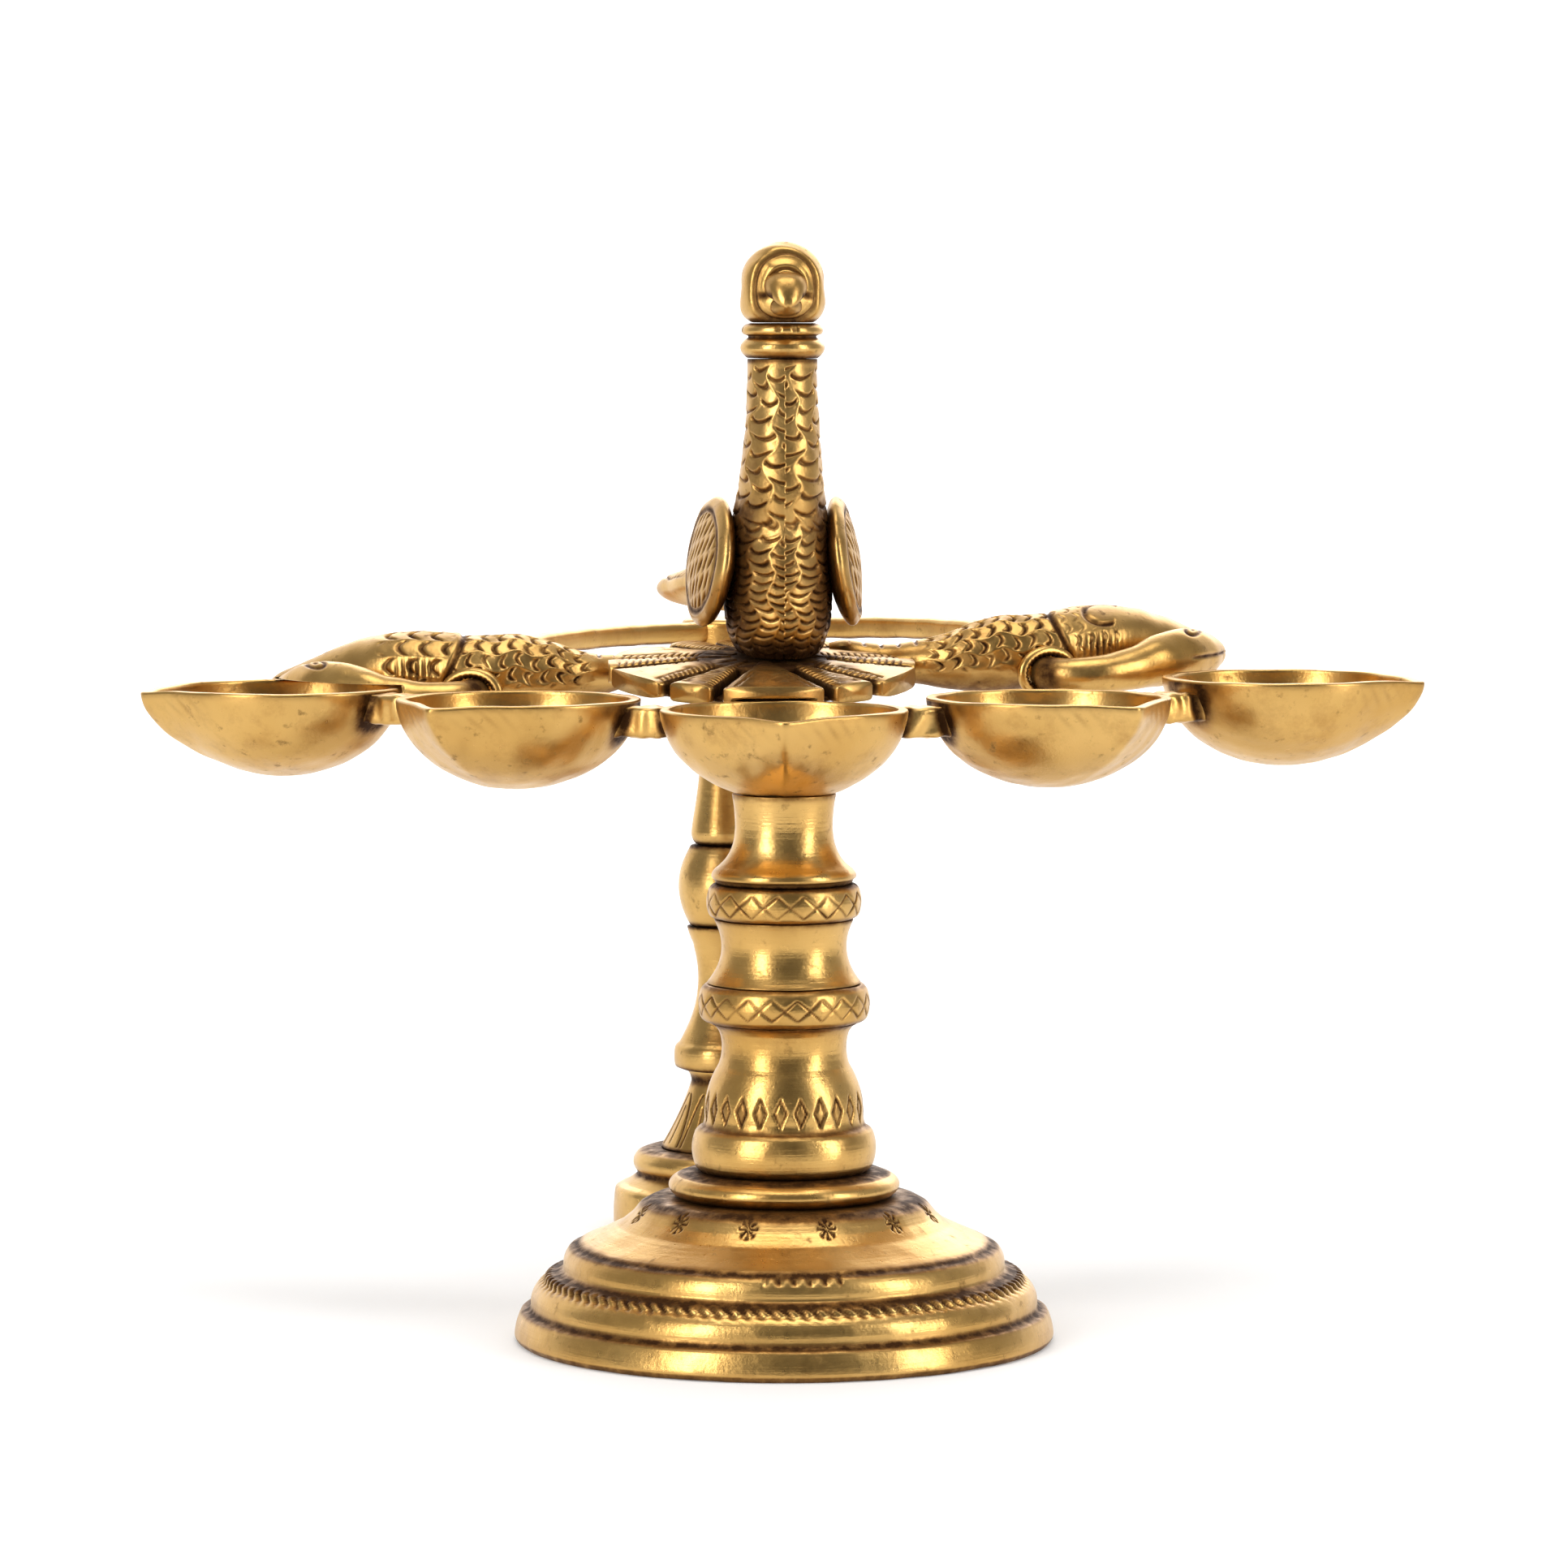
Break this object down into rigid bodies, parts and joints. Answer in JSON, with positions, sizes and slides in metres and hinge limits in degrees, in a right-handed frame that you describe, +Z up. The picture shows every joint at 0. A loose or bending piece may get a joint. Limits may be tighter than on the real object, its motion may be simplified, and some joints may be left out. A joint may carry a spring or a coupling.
{
  "type": "brass peacock oil lamp",
  "caption": "Cast brass oil lamp: a fan of spouted wick bowls with a peacock on a lotus plate, flanked by birds, on a large front pedestal and a slim rear one.",
  "frame": {"origin": "middle of the lamp's footprint box, on the table surface", "axes": "+Z up, -Y towards the bowls' front, X along the fan of bowls; X = 0 is the plane of symmetry"},
  "size_m": [0.205, 0.1814, 0.1701],
  "materials": {
    "polished_brass": "polished cast brass, warm gold, with dark residue in the joints",
    "antique_brass": "chiselled brass with brown-black patina left in every cut",
    "steel": "plain zinc-plated steel fixings, hidden"
  },
  "bodies": {
    "root": {"arm_left": "polished_brass", "arm_right": "polished_brass", "bird_body_left": "antique_brass", "bird_body_right": "antique_brass", "bird_cuff_left": "polished_brass", "bird_cuff_right": "polished_brass", "bird_neck_left": "polished_brass", "bird_neck_right": "polished_brass", "bowl_centre": "polished_brass", "bowl_inner_left": "polished_brass", "bowl_inner_right": "polished_brass", "bowl_outer_left": "polished_brass", "bowl_outer_right": "polished_brass", "front_base": "polished_brass", "front_base_collar": "polished_brass", "front_column_lower": "polished_brass", "front_column_middle": "polished_brass", "front_column_neck": "polished_brass", "front_nut": "steel", "front_ring_lower": "polished_brass", "front_ring_upper": "polished_brass", "front_tie_rod": "steel", "front_washer": "steel", "link_inner_left": "polished_brass", "link_inner_right": "polished_brass", "link_outer_left": "polished_brass", "link_outer_right": "polished_brass", "lotus_lug": "antique_brass", "lotus_plate": "antique_brass", "peacock_beak": "polished_brass", "peacock_body": "antique_brass", "peacock_collar": "polished_brass", "peacock_head": "polished_brass", "peacock_tail": "polished_brass", "peacock_wing_left": "antique_brass", "peacock_wing_right": "antique_brass", "rear_barrel": "polished_brass", "rear_base": "polished_brass", "rear_bell": "polished_brass", "rear_junction": "polished_brass", "rear_nut": "steel", "rear_spindle": "polished_brass", "rear_tie_rod": "steel", "rear_upper_stem": "polished_brass", "rear_washer": "steel"}
  },
  "joints": []
}
